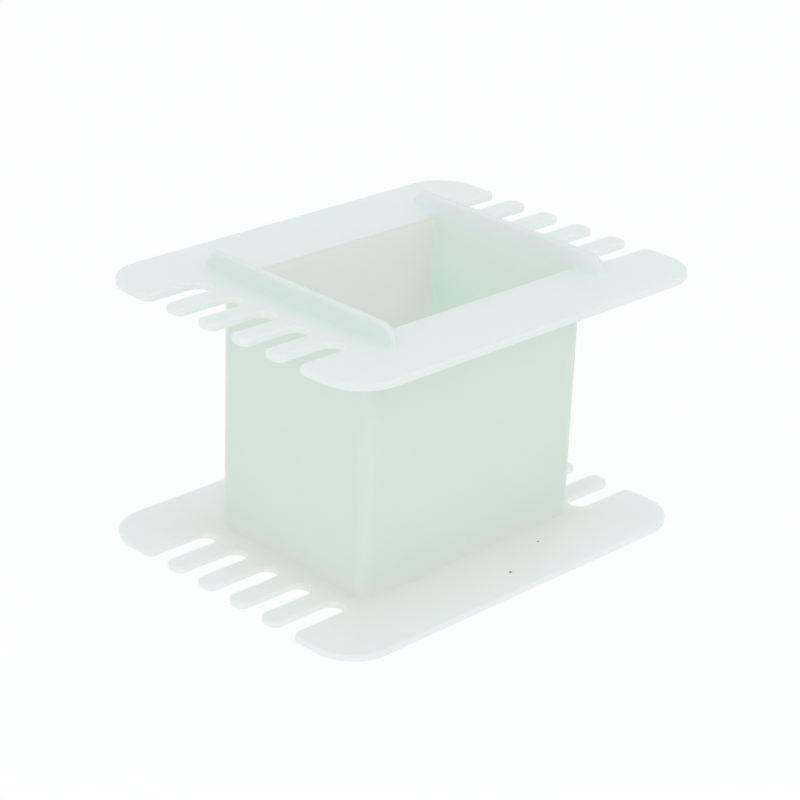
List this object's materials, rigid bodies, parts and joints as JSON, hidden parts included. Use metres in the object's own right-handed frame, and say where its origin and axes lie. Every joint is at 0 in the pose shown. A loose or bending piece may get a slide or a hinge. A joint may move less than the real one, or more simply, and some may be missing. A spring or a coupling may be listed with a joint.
{
  "type": "transformer bobbin",
  "caption": "One-piece moulded nylon transformer bobbin: rectangular winding tube between two flanges with comb-slotted ends, for a stack of laminations through its window.",
  "frame": {"origin": "centre of the lower flange's underside, where the bobbin stands", "axes": "+Z along the tube and the core's centre leg, +X along the longer window side towards a comb end, +Y across the bobbin"},
  "size_m": [0.081, 0.063, 0.0511],
  "materials": {
    "nylon": "satin, slightly translucent natural nylon, pale greenish white"
  },
  "bodies": {
    "root": {"bobbin": "nylon"}
  },
  "joints": []
}
